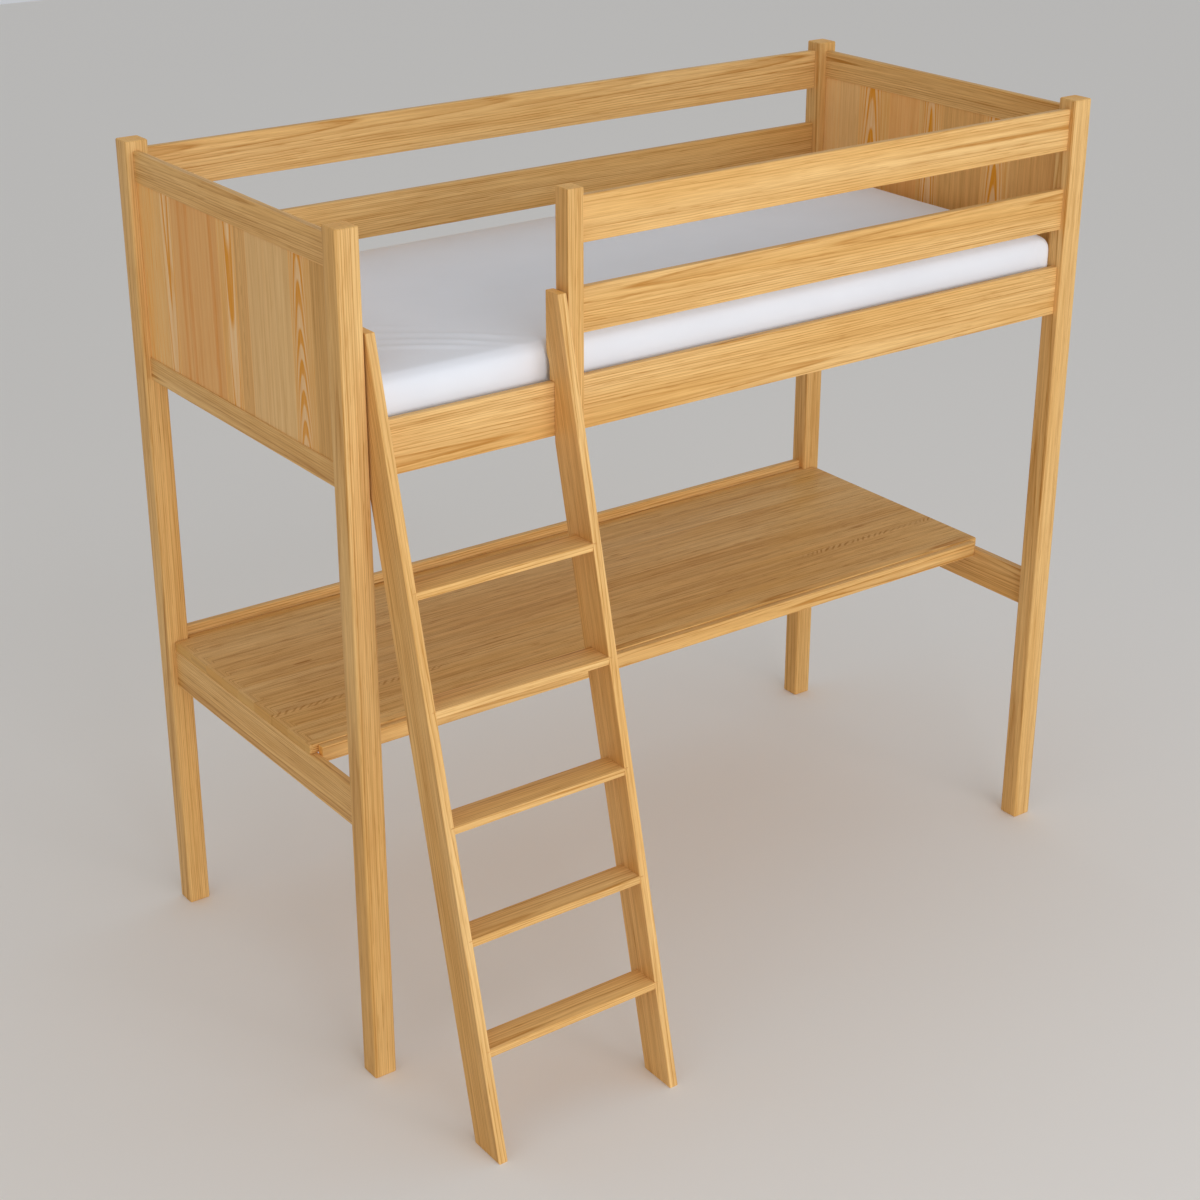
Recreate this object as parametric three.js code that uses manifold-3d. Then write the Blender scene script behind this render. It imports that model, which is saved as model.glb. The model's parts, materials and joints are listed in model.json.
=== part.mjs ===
// Loft bed with a desk underneath, in solid pine.
// Millimetres, +Z up, +X along the bed, -Y out of the front where the ladder stands.
// The origin is on the floor under the middle of the whole bed, ladder foot included.
import * as THREE from 'three';
import { mergeVertices } from 'three/addons/utils/BufferGeometryUtils.js';
import Module from 'manifold-3d';

const wasm = await Module();
wasm.setup();

// ---- Driving dimensions --------------------------------------------------

const BED_LENGTH = 2080;
const BED_DEPTH = 978;
const BED_HEIGHT = 1955;
const LADDER_REACH = 416; // how far the ladder foot stands out in front of the posts

const POST = 55; // square corner posts
const POST_ROUND = 6;
const POST_EASE = 2;
const BOARD = 18; // thickness of every rail
const INSET = 16; // rails sit this far behind the outer faces of the posts
const EDGE_ROUND = 2.5; // long edges of rails
const SLAT_ROUND = 3;
const CLEAT_ROUND = 2;
const PANEL_ROUND = 1;
const DESK_ROUND = 3;
const DESK_EASE = 1;
const GAP = 0.3; // clearance between pieces that touch
const OVERCUT = 1; // how far a cut runs past the face it opens

const RAIL_HEIGHT = 100; // guard rails
const RAIL_DROP = 22; // top of the upper guard rail below the top of the posts
const RAIL_GAP = 94; // open height between one rail and the next
const SIDE_RAIL_HEIGHT = 120;

const END_TOP_HEIGHT = 70;
const END_BOTTOM_HEIGHT = 55;
const END_BOTTOM_TOP = 1457;
const PANEL_THICKNESS = 12;
const PANEL_TONGUE = 8; // how deep the panel sits in the grooves around it

const GUARD_POST_WIDTH = 40;
const GUARD_POST_DEPTH = 46;
const GUARD_POST_START = 543; // from the left end of the bed
const GUARD_POST_ROUND = 2;
const GUARD_POST_EASE = 1;

const DESK_HEIGHT = 734;
const DESK_TOP_THICKNESS = 23;
const DESK_FRONT = 257; // front edge of the desk behind the front of the posts
const DESK_BACK_GAP = 4; // between the desk top and the rail behind it
const DESK_NOTCH_GAP = 2; // around the back posts
const DESK_OVERHANG = 1; // desk top ends this far inside the cross rails' outer faces
const DESK_RAIL_HEIGHT = 96;
const DESK_RAIL_THICKNESS = 22;
const DESK_BACK_RISE = 22; // back rail above the desk top
const DESK_LIP_THICKNESS = 18;
const DESK_LIP_STEP = 3; // lip top below the desk top
const DESK_LIP_DROP = 42; // lip bottom below the desk top
const DESK_LIP_GAP = 0.6; // between the lip's ends and the cross rails

const STILE_THICKNESS = 22;
const STILE_WIDTH = 94; // measured level, front to back
const STILE_EASE = 1.5;
const STILE_HOLLOW_START = 54; // below the top of the mattress
const STILE_HOLLOW_END = 8;
const LADDER_START = 57.5; // from the left end of the bed
const LADDER_WIDTH = 481;
const TREAD_COUNT = 5;
const TREAD_PITCH = 243.8;
const FIRST_TREAD = 248.5; // top of the lowest tread
const TREAD_DEPTH = 70;
const TREAD_THICKNESS = 18;
const TREAD_ROUND = 3;
const TREAD_HOUSING = 8; // how deep a tread sits in each stile

const CLEAT_WIDTH = 30;
const CLEAT_HEIGHT = 30;
const CLEAT_LIFT = 2; // cleat bottom above the bottom of the side rail
const SLAT_COUNT = 14;
const SLAT_WIDTH = 72;
const SLAT_THICKNESS = 18;
const SLAT_END_GAP = 5;
const SLAT_MARGIN = 24; // first and last slat from the end panels

const MATTRESS = { length: 1966, width: 884, height: 150, corner: 36, round: 34 };
const MATTRESS_LEFT_GAP = 23;

const BOLT_RADIUS = 3;
const BOLT_LENGTH = 76;
const BOLT_IN_POST = 33; // length of the bolt screwed into the post
const NUT_RADIUS = 7;
const NUT_LENGTH = 14;
const NUT_SINK = 1; // nut below the inner face of the rail
const NUT_FROM_POST = 36;
const SCREW_RADIUS = 2.5;
const SCREW_HEAD_RADIUS = 5;
const SCREW_HEAD_HEIGHT = 2.5;
const SCREW_POINT = 2;
const SCREW_IN_GUARD_POST = 12;
const SCREW_SPREAD = 44;
const SCREW_LIFT = 15; // middle of the two screws above the middle of the side rail
const ROUND_SIDES = 16;

// ---- Planes and levels worked out from them --------------------------------

const left = -BED_LENGTH / 2;
const right = BED_LENGTH / 2;
const back = (BED_DEPTH + LADDER_REACH) / 2;
const front = back - BED_DEPTH;
const innerInset = INSET + BOARD;

const upperRailTop = BED_HEIGHT - RAIL_DROP;
const upperRailBottom = upperRailTop - RAIL_HEIGHT;
const lowerRailTop = upperRailBottom - RAIL_GAP;
const lowerRailBottom = lowerRailTop - RAIL_HEIGHT;
const sideRailTop = lowerRailBottom - RAIL_GAP;
const sideRailBottom = sideRailTop - SIDE_RAIL_HEIGHT;
const sideRailMiddle = (sideRailTop + sideRailBottom) / 2;
const cleatTop = sideRailBottom + CLEAT_LIFT + CLEAT_HEIGHT;
const slatTop = cleatTop + GAP + SLAT_THICKNESS;
const mattressTop = slatTop + GAP + MATTRESS.height;

const endTopBottom = upperRailTop - END_TOP_HEIGHT;
const endBottomBottom = END_BOTTOM_TOP - END_BOTTOM_HEIGHT;
const panelMiddle = INSET + BOARD / 2;

const deskTopBottom = DESK_HEIGHT - DESK_TOP_THICKNESS;
const deskFront = front + DESK_FRONT;
const guardPostLeft = left + GUARD_POST_START;
const guardPostRight = guardPostLeft + GUARD_POST_WIDTH;
const ladderLeft = left + LADDER_START;
const ladderRight = ladderLeft + LADDER_WIDTH;

// ---- Materials -------------------------------------------------------------

function material(color, roughness, metalness) {
  return new THREE.MeshStandardMaterial({ color, roughness, metalness });
}

const pine = material(0xe0a860, 0.5, 0);
const pinePanel = material(0xcf9450, 0.5, 0);
const pineBase = material(0xd9b583, 0.65, 0);
const mattressCover = material(0xf2f2f4, 0.9, 0);
const hardware = material(0x9a9da1, 0.35, 1);

// ---- Geometry helpers --------------------------------------------------------

function roundedRectangle([x0, x1], [y0, y1], radius) {
  const shape = new THREE.Shape();
  shape.absarc(x1 - radius, y1 - radius, radius, 0, Math.PI / 2);
  shape.absarc(x0 + radius, y1 - radius, radius, Math.PI / 2, Math.PI);
  shape.absarc(x0 + radius, y0 + radius, radius, Math.PI, 1.5 * Math.PI);
  shape.absarc(x1 - radius, y0 + radius, radius, 1.5 * Math.PI, 2 * Math.PI);
  shape.closePath();
  return shape;
}

// Turns a solid extruded along Z so that it runs along X or Y instead.
function turnTo(geometry, axis) {
  const axes = {
    x: [[0, 1, 0], [0, 0, 1], [1, 0, 0]],
    y: [[0, 0, 1], [1, 0, 0], [0, 1, 0]],
    z: [[1, 0, 0], [0, 1, 0], [0, 0, 1]],
  }[axis];
  const columns = axes.map((column) => new THREE.Vector3(...column));
  return geometry.applyMatrix4(new THREE.Matrix4().makeBasis(...columns));
}

// A board with rounded long edges. Its grain runs along the given axis, and its
// ends are eased where they show.
function board(axis, span, radius = EDGE_ROUND, ease = 0) {
  const [first, second] = { x: ['y', 'z'], y: ['z', 'x'], z: ['x', 'y'] }[axis];
  const [start, end] = span[axis];
  const geometry = new THREE.ExtrudeGeometry(roundedRectangle(span[first], span[second], radius), {
    depth: end - start - 2 * ease,
    curveSegments: 2,
    bevelEnabled: ease > 0,
    bevelThickness: ease,
    bevelSize: ease,
    bevelOffset: -ease,
    bevelSegments: 1,
  });
  geometry.translate(0, 0, start + ease);
  return turnTo(geometry, axis);
}

function block(span) {
  const [x0, x1] = span.x;
  const [y0, y1] = span.y;
  const [z0, z1] = span.z;
  const geometry = new THREE.BoxGeometry(x1 - x0, y1 - y0, z1 - z0);
  return geometry.translate((x0 + x1) / 2, (y0 + y1) / 2, (z0 + z1) / 2);
}

// A round bar along X or Y, from start to end, centred on the other two coordinates.
function bar(axis, [start, end], [first, second], radius) {
  const geometry = new THREE.CylinderGeometry(radius, radius, end - start, ROUND_SIDES);
  geometry.rotateX(Math.PI / 2);
  geometry.translate(first, second, (start + end) / 2);
  return turnTo(geometry, axis);
}

function toManifold(geometry) {
  const bare = geometry.clone();
  bare.deleteAttribute('normal');
  bare.deleteAttribute('uv');
  const merged = mergeVertices(bare, 1e-4);
  const vertProperties = new Float32Array(merged.attributes.position.array);
  const triVerts = new Uint32Array(merged.index.array);
  return new wasm.Manifold(new wasm.Mesh({ numProp: 3, vertProperties, triVerts }));
}

function toGeometry(solid) {
  const mesh = solid.getMesh();
  const geometry = new THREE.BufferGeometry();
  geometry.setAttribute('position', new THREE.BufferAttribute(mesh.vertProperties, 3));
  geometry.setIndex(new THREE.BufferAttribute(mesh.triVerts, 1));
  const faceted = geometry.toNonIndexed();
  faceted.computeVertexNormals();
  return faceted;
}

function cut(geometry, tools) {
  let solid = toManifold(geometry);
  for (const tool of tools) {
    solid = solid.subtract(toManifold(tool));
  }
  return toGeometry(solid);
}

const bed = new THREE.Group();

function add(name, geometry, finish) {
  const mesh = new THREE.Mesh(geometry, finish);
  mesh.name = name;
  bed.add(mesh);
}

// The range from one plane to another, the right way round on either end or side.
function between(plane, inward, near, far) {
  const a = plane + inward * near;
  const b = plane + inward * far;
  return [Math.min(a, b), Math.max(a, b)];
}

const ends = [
  { side: 'left', plane: left, inward: 1 },
  { side: 'right', plane: right, inward: -1 },
];
const sides = [
  { side: 'front', plane: front, inward: 1 },
  { side: 'back', plane: back, inward: -1 },
];

// ---- Hidden fasteners: one bolt and barrel nut at each end of each side rail ------

function bolt(end, side, grow, radius) {
  const start = POST - BOLT_IN_POST;
  const span = between(end.plane, end.inward, start - grow, start + BOLT_LENGTH + grow);
  return bar('x', span, [side.plane + side.inward * panelMiddle, sideRailMiddle], radius);
}

function boltHole(end, side) {
  return bolt(end, side, OVERCUT, BOLT_RADIUS + GAP);
}

// The nut lies across the bolt, just below the inner face of the side rail.
function barrelNut(end, side, startGrow, endGrow, radius) {
  const outerEnd = innerInset - NUT_SINK;
  const span = between(side.plane, side.inward, outerEnd - NUT_LENGTH - startGrow, outerEnd + endGrow);
  return bar('y', span, [sideRailMiddle, end.plane + end.inward * (POST + NUT_FROM_POST)], radius);
}

function nutPocket(end, side) {
  return barrelNut(end, side, GAP, NUT_SINK + OVERCUT, NUT_RADIUS + GAP);
}

function addFasteners() {
  for (const end of ends) {
    for (const side of sides) {
      const place = `${side.side}_${end.side}`;
      add(`connector_bolt_${place}`, bolt(end, side, 0, BOLT_RADIUS), hardware);
      const nut = barrelNut(end, side, 0, 0, NUT_RADIUS);
      add(`barrel_nut_${place}`, cut(nut, [boltHole(end, side)]), hardware);
    }
  }
}

// ---- Frame -----------------------------------------------------------------

// The end panel stands in a groove of the posts and of the two end rails.
function panelSpan(end, grow) {
  const half = PANEL_THICKNESS / 2 + grow;
  return {
    x: between(end.plane, end.inward, panelMiddle - half, panelMiddle + half),
    y: [front + POST - PANEL_TONGUE - grow, back - POST + PANEL_TONGUE + grow],
    z: [END_BOTTOM_TOP - PANEL_TONGUE - grow, endTopBottom + PANEL_TONGUE + grow],
  };
}

function addCornerPosts() {
  for (const end of ends) {
    for (const side of sides) {
      const post = board(
        'z',
        {
          x: between(end.plane, end.inward, 0, POST),
          y: between(side.plane, side.inward, 0, POST),
          z: [0, BED_HEIGHT],
        },
        POST_ROUND,
        POST_EASE,
      );
      const groove = block(panelSpan(end, GAP));
      add(`post_${side.side}_${end.side}`, cut(post, [groove, boltHole(end, side)]), pine);
    }
  }
}

function addEndFrames() {
  for (const end of ends) {
    const x = between(end.plane, end.inward, INSET, innerInset);
    const y = [front + POST + GAP, back - POST - GAP];
    const groove = block(panelSpan(end, GAP));
    const topRail = board('y', { x, y, z: [endTopBottom, upperRailTop] });
    const bottomRail = board('y', { x, y, z: [endBottomBottom, END_BOTTOM_TOP] });
    add(`end_top_rail_${end.side}`, cut(topRail, [groove]), pine);
    add(`end_bottom_rail_${end.side}`, cut(bottomRail, [groove]), pine);
    add(`end_panel_${end.side}`, board('z', panelSpan(end, 0), PANEL_ROUND), pinePanel);
  }
}

function railSpan(side, x, bottom, top) {
  return { x, y: between(side.plane, side.inward, INSET, innerInset), z: [bottom, top] };
}

const betweenPosts = [left + POST + GAP, right - POST - GAP];
const guardScrewX = (guardPostLeft + guardPostRight) / 2;
const guardScrewHeights = [-1, 1].map((way) => sideRailMiddle + SCREW_LIFT + way * SCREW_SPREAD / 2);

function guardScrewHole(height) {
  const span = [front + INSET - SCREW_IN_GUARD_POST - OVERCUT, front + innerInset + OVERCUT];
  return bar('y', span, [height, guardScrewX], SCREW_RADIUS + GAP);
}

function addSideRails() {
  for (const side of sides) {
    const rail = board('x', railSpan(side, betweenPosts, sideRailBottom, sideRailTop));
    const cuts = ends.flatMap((end) => [boltHole(end, side), nutPocket(end, side)]);
    if (side.side === 'front') {
      cuts.push(...guardScrewHeights.map(guardScrewHole));
    }
    add(`side_rail_${side.side}`, cut(rail, cuts), pine);
  }
}

function addGuardRails() {
  const levels = { upper: [upperRailBottom, upperRailTop], lower: [lowerRailBottom, lowerRailTop] };
  for (const side of sides) {
    const x = side.side === 'front' ? [guardPostRight + GAP, betweenPosts[1]] : betweenPosts;
    for (const [level, [bottom, top]] of Object.entries(levels)) {
      add(`guard_rail_${side.side}_${level}`, board('x', railSpan(side, x, bottom, top)), pine);
    }
  }
}

// The guard post stands on the side rail and laps over its front with a thin tongue.
function addGuardPost() {
  const post = board(
    'z',
    {
      x: [guardPostLeft, guardPostRight],
      y: [front, front + GUARD_POST_DEPTH],
      z: [sideRailBottom, BED_HEIGHT],
    },
    GUARD_POST_ROUND,
    GUARD_POST_EASE,
  );
  const lap = block({
    x: [guardPostLeft - OVERCUT, guardPostRight + OVERCUT],
    y: [front + INSET - GAP, front + GUARD_POST_DEPTH + OVERCUT],
    z: [sideRailBottom - OVERCUT, sideRailTop + GAP],
  });
  add('guard_post', cut(post, [lap, ...guardScrewHeights.map(guardScrewHole)]), pine);
}

// A screw along Y, driven from inside through the side rail, its head on the rail's inner face.
function guardScrew(height) {
  const shank = SCREW_IN_GUARD_POST + BOARD;
  const profile = [
    [0, 0],
    [SCREW_RADIUS / 2, 0],
    [SCREW_RADIUS, SCREW_POINT],
    [SCREW_RADIUS, shank],
    [SCREW_HEAD_RADIUS, shank],
    [SCREW_HEAD_RADIUS * 0.7, shank + SCREW_HEAD_HEIGHT],
    [0, shank + SCREW_HEAD_HEIGHT],
  ];
  const points = profile.map(([radius, along]) => new THREE.Vector2(radius, along));
  const screw = new THREE.LatheGeometry(points, ROUND_SIDES);
  return screw.translate(guardScrewX, front + INSET - SCREW_IN_GUARD_POST + GAP, height);
}

function addGuardScrews() {
  guardScrewHeights.forEach((height, index) => {
    add(`guard_post_screw_${index + 1}`, guardScrew(height), hardware);
  });
}

// ---- Bed base -----------------------------------------------------------------

function addCleats() {
  for (const side of sides) {
    const y = between(side.plane, side.inward, innerInset + GAP, innerInset + GAP + CLEAT_WIDTH);
    const z = [sideRailBottom + CLEAT_LIFT, cleatTop];
    add(`slat_cleat_${side.side}`, board('x', { x: betweenPosts, y, z }, CLEAT_ROUND), pineBase);
  }
}

function addSlats() {
  const first = left + innerInset + SLAT_MARGIN;
  const last = right - innerInset - SLAT_MARGIN - SLAT_WIDTH;
  const pitch = (last - first) / (SLAT_COUNT - 1);
  const y = [front + innerInset + SLAT_END_GAP, back - innerInset - SLAT_END_GAP];
  for (let index = 0; index < SLAT_COUNT; index += 1) {
    const start = first + index * pitch;
    const span = { x: [start, start + SLAT_WIDTH], y, z: [cleatTop + GAP, slatTop] };
    add(`slat_${String(index + 1).padStart(2, '0')}`, board('y', span, SLAT_ROUND), pineBase);
  }
}

function addMattress() {
  const x0 = left + innerInset + MATTRESS_LEFT_GAP;
  const middle = (front + back) / 2;
  const plan = roundedRectangle(
    [x0, x0 + MATTRESS.length],
    [middle - MATTRESS.width / 2, middle + MATTRESS.width / 2],
    MATTRESS.corner,
  );
  const body = new THREE.ExtrudeGeometry(plan, {
    depth: MATTRESS.height - 2 * MATTRESS.round,
    curveSegments: 3,
    bevelThickness: MATTRESS.round,
    bevelSize: MATTRESS.round,
    bevelOffset: -MATTRESS.round,
    bevelSegments: 4,
  });
  body.translate(0, 0, mattressTop - MATTRESS.height + MATTRESS.round);
  add('mattress', body, mattressCover);
}

// ---- Desk -----------------------------------------------------------------

function addDesk() {
  const crossRailY = [front + POST + GAP, back - POST - GAP];
  const crossRailZ = [deskTopBottom - GAP - DESK_RAIL_HEIGHT, deskTopBottom - GAP];
  for (const end of ends) {
    const x = between(end.plane, end.inward, INSET, INSET + DESK_RAIL_THICKNESS);
    add(`desk_rail_${end.side}`, board('y', { x, y: crossRailY, z: crossRailZ }), pine);
  }
  const backRailTop = DESK_HEIGHT + DESK_BACK_RISE;
  const backSpan = railSpan(sides[1], betweenPosts, backRailTop - RAIL_HEIGHT, backRailTop);
  add('desk_rail_back', board('x', backSpan), pine);

  const overhang = INSET + DESK_OVERHANG;
  const top = board(
    'x',
    {
      x: [left + overhang, right - overhang],
      y: [deskFront, back - innerInset - DESK_BACK_GAP],
      z: [deskTopBottom, DESK_HEIGHT],
    },
    DESK_ROUND,
    DESK_EASE,
  );
  const notches = ends.map((end) =>
    block({
      x: between(end.plane, end.inward, 0, POST + DESK_NOTCH_GAP),
      y: [back - POST - DESK_NOTCH_GAP, back],
      z: [deskTopBottom - OVERCUT, DESK_HEIGHT + OVERCUT],
    }),
  );
  add('desk_top', cut(top, notches), pine);

  const lipInset = INSET + DESK_RAIL_THICKNESS + DESK_LIP_GAP;
  const lip = board(
    'x',
    {
      x: [left + lipInset, right - lipInset],
      y: [deskFront - GAP - DESK_LIP_THICKNESS, deskFront - GAP],
      z: [DESK_HEIGHT - DESK_LIP_DROP, DESK_HEIGHT - DESK_LIP_STEP],
    },
    DESK_ROUND,
    DESK_EASE,
  );
  add('desk_front_lip', lip, pine);
}

// ---- Ladder -----------------------------------------------------------------

const stileTop = lowerRailTop;
const stileSlope = LADDER_REACH / stileTop;

// The front edge of the ladder is one straight line from the top to the floor.
function ladderFrontAt(z) {
  return front - (stileTop - z) * stileSlope;
}

// Side outline of a stile, in Y and Z. It stands on the side rail, hangs over its
// front, and its upper part is wider, with a hollow that clears the mattress edge.
function stileOutline() {
  const notchLevel = sideRailTop + GAP;
  const notchFace = front + INSET - GAP;
  const lowBack = front + innerInset;
  const highBack = front + GUARD_POST_DEPTH;
  const bend = 2 * (highBack - lowBack);
  const hollowStart = mattressTop - STILE_HOLLOW_START;
  const hollowEnd = mattressTop - STILE_HOLLOW_END;
  const footFront = ladderFrontAt(0);
  const footBack = footFront + STILE_WIDTH;
  const slopeTop = (notchFace - footBack) / stileSlope;
  const outline = new THREE.Shape();
  outline.moveTo(footBack, 0);
  outline.lineTo(notchFace, slopeTop);
  outline.lineTo(notchFace, notchLevel);
  outline.lineTo(lowBack, notchLevel);
  outline.lineTo(lowBack, hollowStart);
  outline.bezierCurveTo(lowBack, hollowStart + bend, highBack, hollowEnd - bend, highBack, hollowEnd);
  outline.lineTo(highBack, stileTop);
  outline.lineTo(front, stileTop);
  outline.lineTo(footFront, 0);
  outline.closePath();
  return outline;
}

function treadSpan(index, grow) {
  const top = FIRST_TREAD + index * TREAD_PITCH;
  const treadFront = ladderFrontAt(top);
  const side = STILE_THICKNESS - TREAD_HOUSING - grow;
  return {
    x: [ladderLeft + side, ladderRight - side],
    y: [treadFront - grow, treadFront + TREAD_DEPTH + grow],
    z: [top - TREAD_THICKNESS - grow, top + grow],
  };
}

function addLadder() {
  const housings = Array.from({ length: TREAD_COUNT }, (_, index) => block(treadSpan(index, GAP)));
  const stiles = { left: ladderLeft, right: ladderRight - STILE_THICKNESS };
  for (const [side, x0] of Object.entries(stiles)) {
    const stile = new THREE.ExtrudeGeometry(stileOutline(), {
      depth: STILE_THICKNESS - 2 * STILE_EASE,
      curveSegments: 8,
      bevelThickness: STILE_EASE,
      bevelSize: STILE_EASE,
      bevelOffset: -STILE_EASE,
      bevelSegments: 1,
    });
    stile.translate(0, 0, x0 + STILE_EASE);
    add(`ladder_stile_${side}`, cut(turnTo(stile, 'x'), housings), pine);
  }
  for (let index = 0; index < TREAD_COUNT; index += 1) {
    add(`ladder_tread_${index + 1}`, board('x', treadSpan(index, 0), TREAD_ROUND), pine);
  }
}

addCornerPosts();
addEndFrames();
addSideRails();
addGuardRails();
addGuardPost();
addGuardScrews();
addFasteners();
addCleats();
addSlats();
addMattress();
addDesk();
addLadder();

export default bed;
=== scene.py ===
"""Looks for the loft bed with desk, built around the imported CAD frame.

Metres, in the row frame: +X along the bed, -Y out of the front where the ladder stands, +Z up.
"""

import json
import math
import random

import bmesh
import bpy
import numpy as np
from mathutils import Euler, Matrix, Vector


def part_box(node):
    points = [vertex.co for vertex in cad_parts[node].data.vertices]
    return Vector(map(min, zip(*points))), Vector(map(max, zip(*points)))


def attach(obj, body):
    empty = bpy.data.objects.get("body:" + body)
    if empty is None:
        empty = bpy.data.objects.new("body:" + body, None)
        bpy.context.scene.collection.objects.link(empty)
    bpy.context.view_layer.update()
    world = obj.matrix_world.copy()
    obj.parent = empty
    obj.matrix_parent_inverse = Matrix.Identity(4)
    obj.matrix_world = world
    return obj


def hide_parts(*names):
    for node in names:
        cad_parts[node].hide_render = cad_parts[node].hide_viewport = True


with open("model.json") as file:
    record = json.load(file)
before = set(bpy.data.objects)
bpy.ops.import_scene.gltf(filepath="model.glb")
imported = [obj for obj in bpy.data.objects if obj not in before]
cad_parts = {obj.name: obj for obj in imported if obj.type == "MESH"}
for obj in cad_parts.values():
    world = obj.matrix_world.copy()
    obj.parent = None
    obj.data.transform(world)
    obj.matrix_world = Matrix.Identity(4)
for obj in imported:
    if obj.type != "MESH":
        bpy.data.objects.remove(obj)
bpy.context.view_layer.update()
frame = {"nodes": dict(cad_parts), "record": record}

MM = 0.001
TINY = 1e-9  # keeps a divisor from being 0
AXES = {"x": Vector((1, 0, 0)), "y": Vector((0, 1, 0)), "z": Vector((0, 0, 1))}
SLOTS = {part["node"]: part["material_slot"] for part in frame["record"]["subparts"]}


# ---- Camera, floor and light ---------------------------------------------------------------------

CAMERA_PLACE = Vector((-3.0879, -3.9692, 3.0629))
CAMERA_TURN = Euler((math.radians(65.85), 0.0, math.radians(-35.92)))
SENSOR = 36.0
LENS = 67.48
FLOOR_HALF = 14.0
FLOOR_COLOUR = (0.88, 0.85, 0.80, 1)
FLOOR_ROUGHNESS = 0.8
SKY_COLOUR = (0.96, 0.985, 1.03, 1)
SKY_STRENGTH = 0.58
LEFT_SKY_COLOUR = (0.36, 0.295, 0.20, 1)
LEFT_SKY_WAY = (-1, 0, -0.65)
LEFT_SKY_FADE = (0.1, 0.8)  # how far a direction has to lean that way

# A broad cool light in front of the bed, and a dim warm one beyond its left end.
KEY_LIGHT = {
    "place": (-0.3, -7.5, 2.3),
    "aim": (0, 0, 1.1),
    "size": (6.5, 3.4),
    "power": 245,
    "colour": (0.965, 0.985, 1.05),
}
FILL_LIGHT = {
    "place": (-7.0, -1.5, 3.0),
    "aim": (0, 0, 1.2),
    "size": (5.0, 2.4),
    "power": 32,
    "colour": (1.0, 0.755, 0.48),
}


def add_camera():
    data = bpy.data.cameras.new("camera")
    data.sensor_width = SENSOR
    data.lens = LENS
    camera = bpy.data.objects.new("camera", data)
    camera.location = CAMERA_PLACE
    camera.rotation_euler = CAMERA_TURN
    bpy.context.scene.collection.objects.link(camera)
    bpy.context.scene.camera = camera


def add_area_light(name, place, aim, size, power, colour):
    data = bpy.data.lights.new(name, "AREA")
    data.shape = "RECTANGLE"
    data.size, data.size_y = size
    data.energy = power
    data.color = colour
    light = bpy.data.objects.new(name, data)
    light.location = place
    light.rotation_euler = (Vector(aim) - Vector(place)).to_track_quat("-Z", "Y").to_euler()
    bpy.context.scene.collection.objects.link(light)


# ---- Node helpers --------------------------------------------------------------------------------


class Nodes:
    """A node tree. An input is a number, a colour, a vector or another node's socket."""

    def __init__(self, tree):
        self.tree = tree

    def feed(self, socket, value):
        if isinstance(value, bpy.types.NodeSocket):
            self.tree.links.new(value, socket)
        else:
            socket.default_value = value

    def node(self, kind, inputs, **settings):
        made = self.tree.nodes.new("ShaderNode" + kind)
        for key, value in settings.items():
            setattr(made, key, value)
        for key, value in inputs.items():
            self.feed(made.inputs[key], value)
        return made.outputs

    def math(self, operation, first, second=0.0, third=0.0):
        return self.node("Math", {0: first, 1: second, 2: third}, operation=operation)[0]

    def vector(self, operation, first, second=(0, 0, 0), third=(0, 0, 0)):
        inputs = {0: first, 1: second, 2: third}
        output = "Value" if operation in ("DOT_PRODUCT", "LENGTH") else "Vector"
        return self.node("VectorMath", inputs, operation=operation)[output]

    def blend(self, factor, first, second):
        """Mixes two colours. The Mix node keeps its colour sockets at places 6, 7 and 2."""
        made = self.tree.nodes.new("ShaderNodeMix")
        made.data_type = "RGBA"
        for place, value in ((0, factor), (6, first), (7, second)):
            self.feed(made.inputs[place], value)
        return made.outputs[2]

    def spread(self, value, low, high, to_low=0.0, to_high=1.0, smooth=False):
        """Takes low..high to to_low..to_high, and holds the ends."""
        inputs = {"Value": value, "From Min": low, "From Max": high}
        inputs |= {"To Min": to_low, "To Max": to_high}
        kind = "SMOOTHSTEP" if smooth else "LINEAR"
        return self.node("MapRange", inputs, interpolation_type=kind)[0]

    def curve(self, value, stops):
        """A grey ramp through (place, level) stops."""
        made = self.tree.nodes.new("ShaderNodeValToRGB")
        ramp = made.color_ramp
        while len(ramp.elements) < len(stops):
            ramp.elements.new(1.0)
        for element, (place, level) in zip(ramp.elements, stops):
            element.position = place
            element.color = (level, level, level, 1)
        self.feed(made.inputs[0], value)
        return made.outputs["Color"]

    def noise(self, point, stretch, shift, detail=2.0):
        """Noise about 0.5 over point, with its features 1 / stretch metres long on each axis."""
        at = self.vector("MULTIPLY_ADD", point, stretch, shift)
        return self.node("TexNoise", {"Vector": at, "Scale": 1.0, "Detail": detail})[0]


class Shader(Nodes):
    """One material's nodes."""

    def __init__(self, name):
        self.material = bpy.data.materials.new(name)
        self.material.use_nodes = True
        super().__init__(self.material.node_tree)
        self.surface = self.tree.nodes["Principled BSDF"]

    def bump(self, height, strength, distance):
        inputs = {"Height": height, "Strength": strength, "Distance": distance}
        self.feed(self.surface.inputs["Normal"], self.node("Bump", inputs)["Normal"])

    def finish(self, **inputs):
        for key, value in inputs.items():
            self.feed(self.surface.inputs[key.replace("_", " ")], value)
        return self.material


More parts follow.
